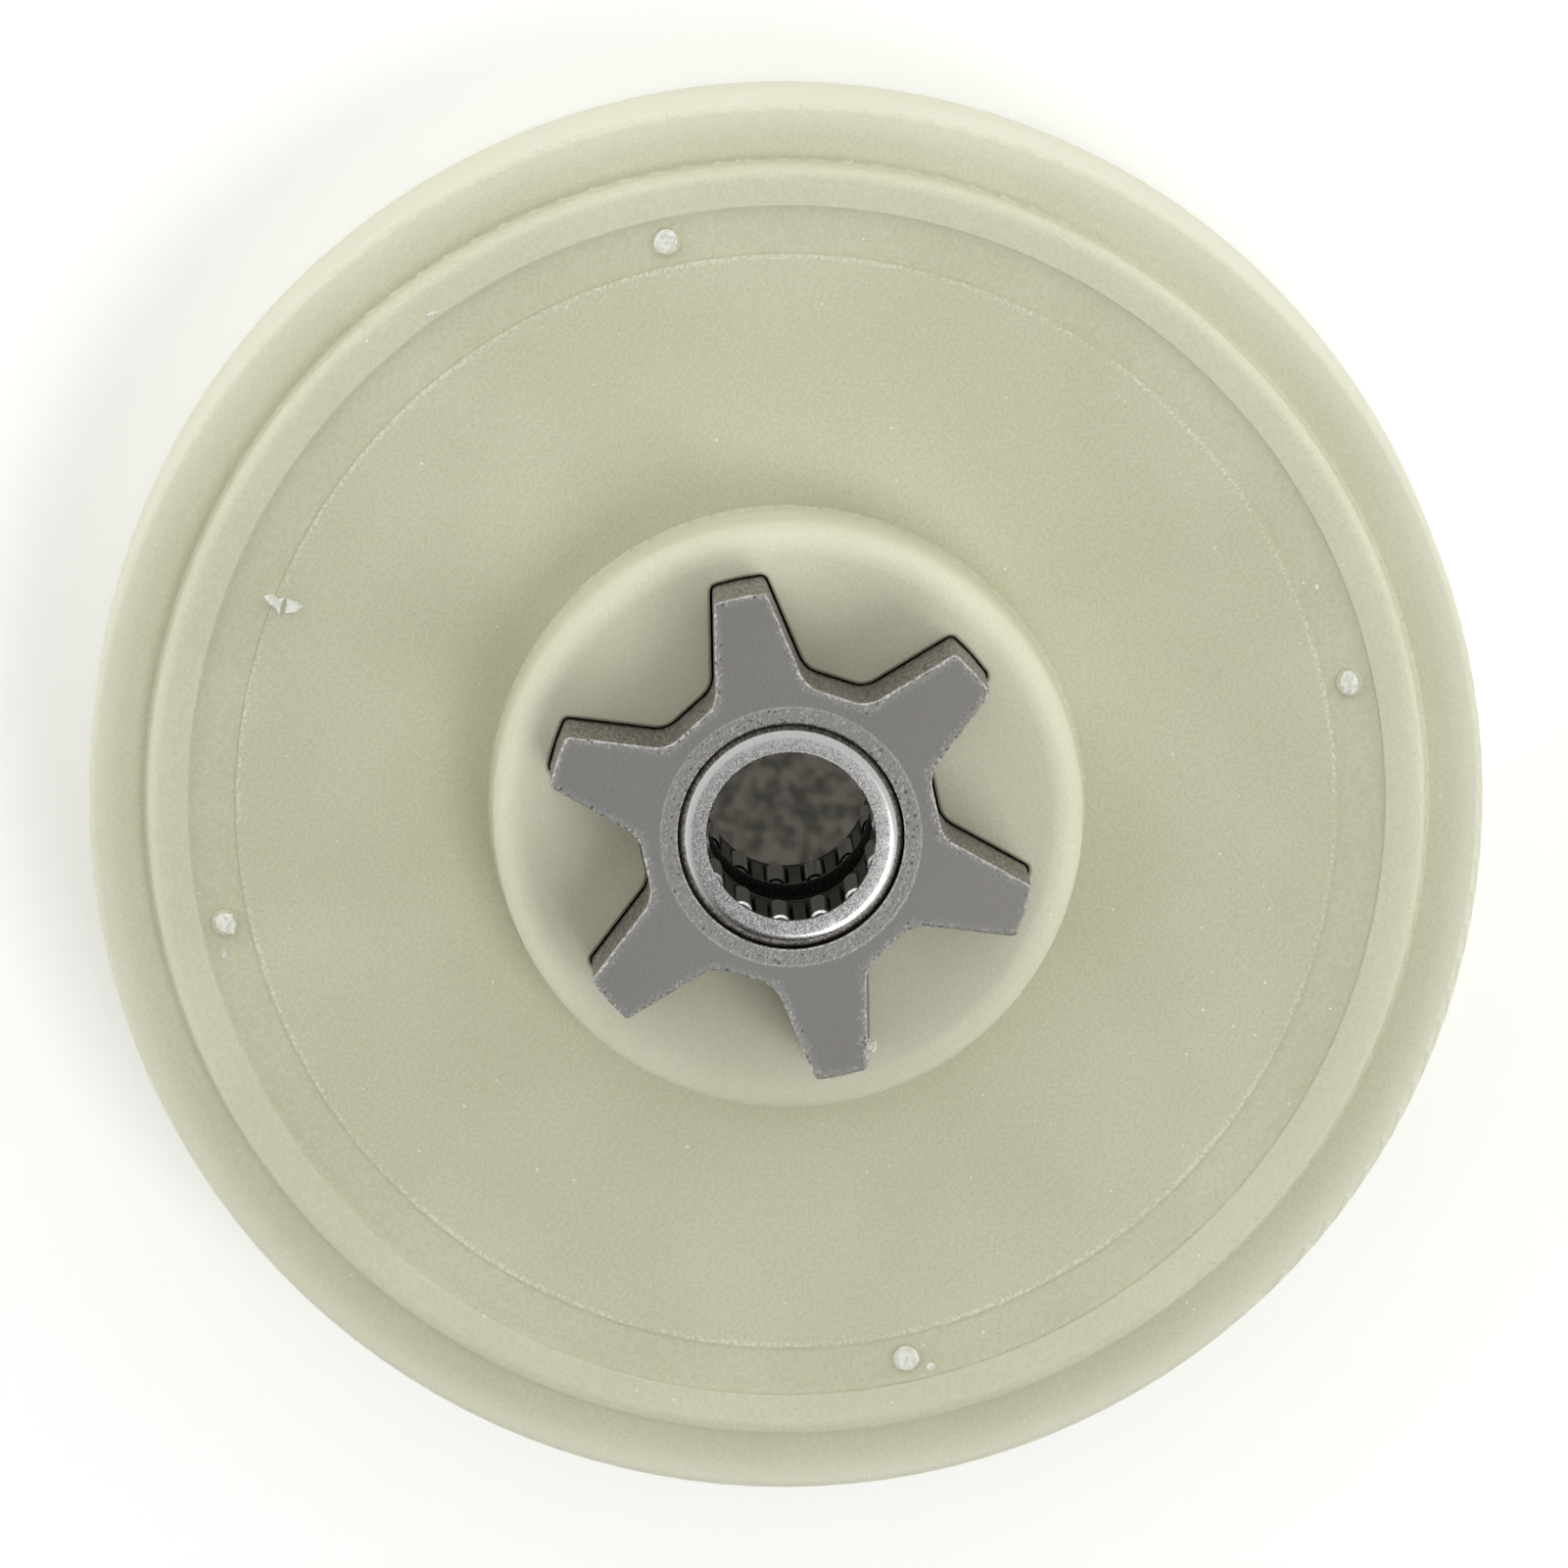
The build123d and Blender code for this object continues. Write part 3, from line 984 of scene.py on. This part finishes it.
@dataclass
class MouldMarks:
    """Scars of the four gates, and flakes and nicks left by trimming and handling.

    Sizes and places are in millimetres.
    """

    band: float = 17.75
    rim_top: float = 18.0
    boss_top: float = 26.0
    gate_rise: float = 0.2
    sunk: float = 0.02
    corners: int = 22
    flake: Outline = (
        (-15.66, 31.74), (-15.04, 31.37), (-15.02, 30.97), (-14.61, 30.79), (-15.21, 30.5),
        (-15.76, 30.04), (-15.6, 30.56), (-15.73, 31.16))
    sliver: Outline = (
        (-14.66, 30.72), (-14.2, 30.0), (-14.13, 29.53), (-14.79, 29.54), (-15.5, 30.02))

    def scars(self) -> tuple[Scar, ...]:
        """Return the round and lumpy spots."""
        band, stub = self.band, self.band + self.gate_rise
        return (
            Scar("gate_scar_1", (18.07, 31.37, stub), (0.8, 0.74), 0.11, 20, 0.07, 0.14),
            Scar("gate_scar_2", (-31.32, 18.0, stub), (0.72, 0.6), 0.14, 70, 0.0, 0.3),
            Scar("gate_scar_3", (31.3, -18.05, stub), (0.78, 0.6), 0.1, 60, 0.0, 0.16),
            Scar("gate_scar_4", (-18.05, -31.3, stub), (0.8, 0.8), 0.09, 0, 0.02, 0.05),
            Scar("spot_by_gate_2", (-32.71, 16.57, band), (0.27, 0.2), 0.09, 40, 0.0, 0.2),
            Scar("spot_by_gate_4", (-17.28, -32.78, band), (0.28, 0.28), 0.08, 0, 0.05, 0.1),
            Scar("rim_nick", (4.15, 37.85, self.rim_top), (0.4, 0.12), 0.07, -20, 0.0, 0.2),
            Scar("band_nick", (33.84, -12.21, band), (0.22, 0.14), 0.07, 60, 0.0, 0.2),
            Scar("boss_nub", (-5.72, -14.0, self.boss_top), (0.52, 0.36), 0.35, 75, 0.0, 0.25),
        )

    def lump(self, scar: Scar) -> bmesh.types.BMesh:
        """Model a spot as a low torn lump, or as a small crater.

        Args:
            scar: The spot.

        Returns:
            Its shape.
        """
        middle = 1.0 - scar.hollow / scar.height
        profile = ((0.0, 0.0), (1.0, 0.0), (0.9, 0.6), (0.68, 1.0), (0.4, middle), (0.0, middle))
        mesh = bmesh.new()
        Piece.turned(mesh, profile, self.corners)
        bmesh.ops.remove_doubles(mesh, verts=mesh.verts, dist=0.001)
        bmesh.ops.recalc_face_normals(mesh, faces=mesh.faces)
        seed = Vector(scar.place)
        for vert in mesh.verts:
            wave = noise.noise(vert.co * 1.7 + seed)
            vert.co.xy *= 1 + scar.rough * (wave + noise.noise(vert.co * 4.3 + seed))
            vert.co.z *= 1 + 2 * scar.rough * noise.noise(vert.co * 2.9 - seed)
        size = Matrix.Diagonal((*scar.reach, scar.height, 1.0))
        turn = Matrix.Rotation(math.radians(scar.turn), 4, "Z")
        place = Matrix.Translation(seed - Vector((0, 0, self.sunk)))
        bmesh.ops.transform(mesh, verts=mesh.verts, matrix=Matrix.Scale(MM, 4) @ place @ turn @ size)
        return mesh

    def shaving(self, outline: Outline, lift: float, thickness: float) -> bmesh.types.BMesh:
        """Model a thin torn flake that lies on the web's edge.

        Args:
            outline: Its corners.
            lift: How far its upper side curls up.
            thickness: Its thickness.

        Returns:
            Its shape.
        """
        mesh = bmesh.new()
        corners = [mesh.verts.new((x * MM, y * MM, self.band * MM)) for x, y in outline]
        face = mesh.faces.new(corners)
        bmesh.ops.subdivide_edges(mesh, edges=face.edges, cuts=1, smooth=0.4)
        raised = bmesh.ops.extrude_face_region(mesh, geom=mesh.faces[:])["geom"]
        above = [part for part in raised if isinstance(part, bmesh.types.BMVert)]
        middle = sum((v.co for v in above), Vector()) / len(above)
        for vert in above:
            curl = noise.noise(vert.co / MM * 2.1) * 0.5 + 0.5
            vert.co.xy += (middle.xy - vert.co.xy) * 0.18
            vert.co.z += (thickness + lift * curl) * MM
        bmesh.ops.triangulate(mesh, faces=[f for f in mesh.faces if len(f.verts) > 4])
        bmesh.ops.recalc_face_normals(mesh, faces=mesh.faces)
        return mesh

    def build(self, torn: bpy.types.Material) -> None:
        """Model and dress the marks.

        Args:
            torn: The torn nylon's material.
        """
        shapes = {scar.name: self.lump(scar) for scar in self.scars()}
        shapes["web_flake"] = self.shaving(self.flake, lift=0.3, thickness=0.16)
        shapes["web_sliver"] = self.shaving(self.sliver, lift=0.05, thickness=0.14)
        for name, mesh in shapes.items():
            Piece.finish(mesh, name, GEAR, Slot.NYLON, torn)


@dataclass
class Softbox:
    """A square lamp that faces the gear; share is its part of the light on a level surface."""

    name: str
    bearing: float
    elevation: float
    share: float
    size: float
    distance: float

    def build(self) -> None:
        """Hang the lamp."""
        turn, rise = math.radians(self.bearing), math.radians(self.elevation)
        way = Vector((math.cos(rise) * math.cos(turn), math.cos(rise) * math.sin(turn),
                      math.sin(rise)))
        data = bpy.data.lights.new(self.name, "AREA")
        data.size = self.size
        data.energy = self.share * (math.pi * self.distance) ** 2 / math.sin(rise)
        lamp = bpy.data.objects.new(self.name, data)
        facing = way.to_track_quat("Z", "Y").to_matrix().to_4x4()
        lamp.matrix_world = Matrix.Translation(way * self.distance) @ facing
        bpy.context.scene.collection.objects.link(lamp)


@dataclass
class PhotoCamera:
    """The camera at the photograph's viewpoint, one metre above the gear."""

    place: Vector = field(default_factory=lambda: Vector((0.069723, 0.100688, 1.029790)))
    back: Vector = field(default_factory=lambda: Vector((0.067753, 0.097813, 0.992896)))
    right: Vector = field(default_factory=lambda: Vector((0.743059, -0.669053, 0.015206)))
    lens: float = 372.18
    sensor: float = 36.0
    nearest: float = 0.05
    farthest: float = 20.0

    def build(self) -> None:
        """Set up the camera and make it the scene's."""
        data = bpy.data.cameras.new("photo_camera")
        data.lens = self.lens
        data.sensor_width = self.sensor
        data.clip_start, data.clip_end = self.nearest, self.farthest
        camera = bpy.data.objects.new("photo_camera", data)
        above = self.back.cross(self.right)
        turn = Matrix((self.right, above, self.back)).transposed().to_4x4()
        camera.matrix_world = Matrix.Translation(self.place) @ turn
        bpy.context.scene.collection.objects.link(camera)
        bpy.context.scene.camera = camera


@dataclass
class Studio:
    """Floor, lamp, surrounding light and camera.

    The light's directions are measured from the photograph's up, an angle in degrees from +X.
    """

    floor_size: float = 3.0
    photo_up: float = 48.0
    walls: float = 2.1
    ceiling: float = 0.62
    wall_top: float = 0.3
    ceiling_from: float = 0.65
    near_side: float = 0.0
    near_from: float = -0.95
    near_to: float = -0.4
    right_lean: float = -0.06
    key_turn: float = -138.0

    def floor(self, effects: Effects) -> None:
        """Lay the floor.

        Args:
            effects: The shared node groups.
        """
        mesh = bmesh.new()
        bmesh.ops.create_grid(mesh, x_segments=4, y_segments=4, size=self.floor_size)
        data = bpy.data.meshes.new("studio_floor")
        mesh.to_mesh(data)
        mesh.free()
        finish = StudioFloor().material(effects)
        # Its white lights nothing, so it isn't sampled as a lamp.
        finish.cycles.emission_sampling = "NONE"
        data.materials.append(finish)
        floor = bpy.data.objects.new("studio_floor", data)
        bpy.context.scene.collection.objects.link(floor)

    def tent(self) -> None:
        """Surround the gear with a light tent that is dim overhead and on the near side."""
        world = bpy.data.worlds.new("light_tent")
        world.use_nodes = True
        board = NodeBoard(world.node_tree)
        way = board.add("SeparateXYZ", {0: board.add("TexCoord").outputs["Generated"]}).outputs
        level_way = board.add("CombineXYZ", {0: way["X"], 1: way["Y"]}).outputs[0]
        bearing = board.add("VectorMath", {0: level_way}, operation="NORMALIZE").outputs[0]
        turn = math.radians(self.photo_up)
        far = board.along(bearing, (math.cos(turn), math.sin(turn), 0.0))
        right = board.along(bearing, (math.sin(turn), -math.cos(turn), 0.0))
        lit = board.add("MapRange", {"Value": far, "From Min": self.near_from,
                                     "From Max": self.near_to, "To Min": self.near_side,
                                     "To Max": 1.0},
                        interpolation_type="SMOOTHSTEP").outputs["Result"]
        lean = board.add("MapRange", {"Value": right, "From Min": -1.0, "From Max": 1.0,
                                      "To Min": 1 - self.right_lean,
                                      "To Max": 1 + self.right_lean}).outputs["Result"]
        level = board.add("MapRange", {"Value": way["Z"], "From Min": self.wall_top,
                                       "From Max": self.ceiling_from, "To Min": self.walls,
                                       "To Max": self.ceiling},
                          interpolation_type="SMOOTHSTEP").outputs["Result"]
        strength = board.plain("MULTIPLY", board.plain("MULTIPLY", lit, lean), level)
        background = world.node_tree.nodes["Background"]
        board.feed(background.inputs["Color"], grey(1.0))
        board.feed(background.inputs["Strength"], strength)
        bpy.context.scene.world = world

    def build(self, effects: Effects) -> None:
        """Set up the studio round the gear.

        Args:
            effects: The shared node groups.
        """
        self.floor(effects)
        self.tent()
        Softbox("key", bearing=self.photo_up + self.key_turn, elevation=61, share=0.29, size=0.4,
                distance=1.0).build()
        bpy.context.scene.view_settings.view_transform = "Standard"
        PhotoCamera().build()


def main() -> None:
    """Build and dress the gear, then its studio."""
    logging.basicConfig(level=logging.INFO, format="%(message)s")
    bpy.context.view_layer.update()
    effects = Effects()
    GearBody().build(NaturalNylon().material(effects))
    MouldMarks().build(TornNylon().material(effects))
    DriveSprocket().build(SinteredSteel().material(effects))
    cup, cage, needle = (finish.material(effects)
                         for finish in (BearingSteel(), CageSteel(), NeedleSteel()))
    for end in BearingEnd:
        NeedleBearing(end).build(cup, cage, needle)
    Studio().build(effects)


if __name__ == "__main__":
    main()
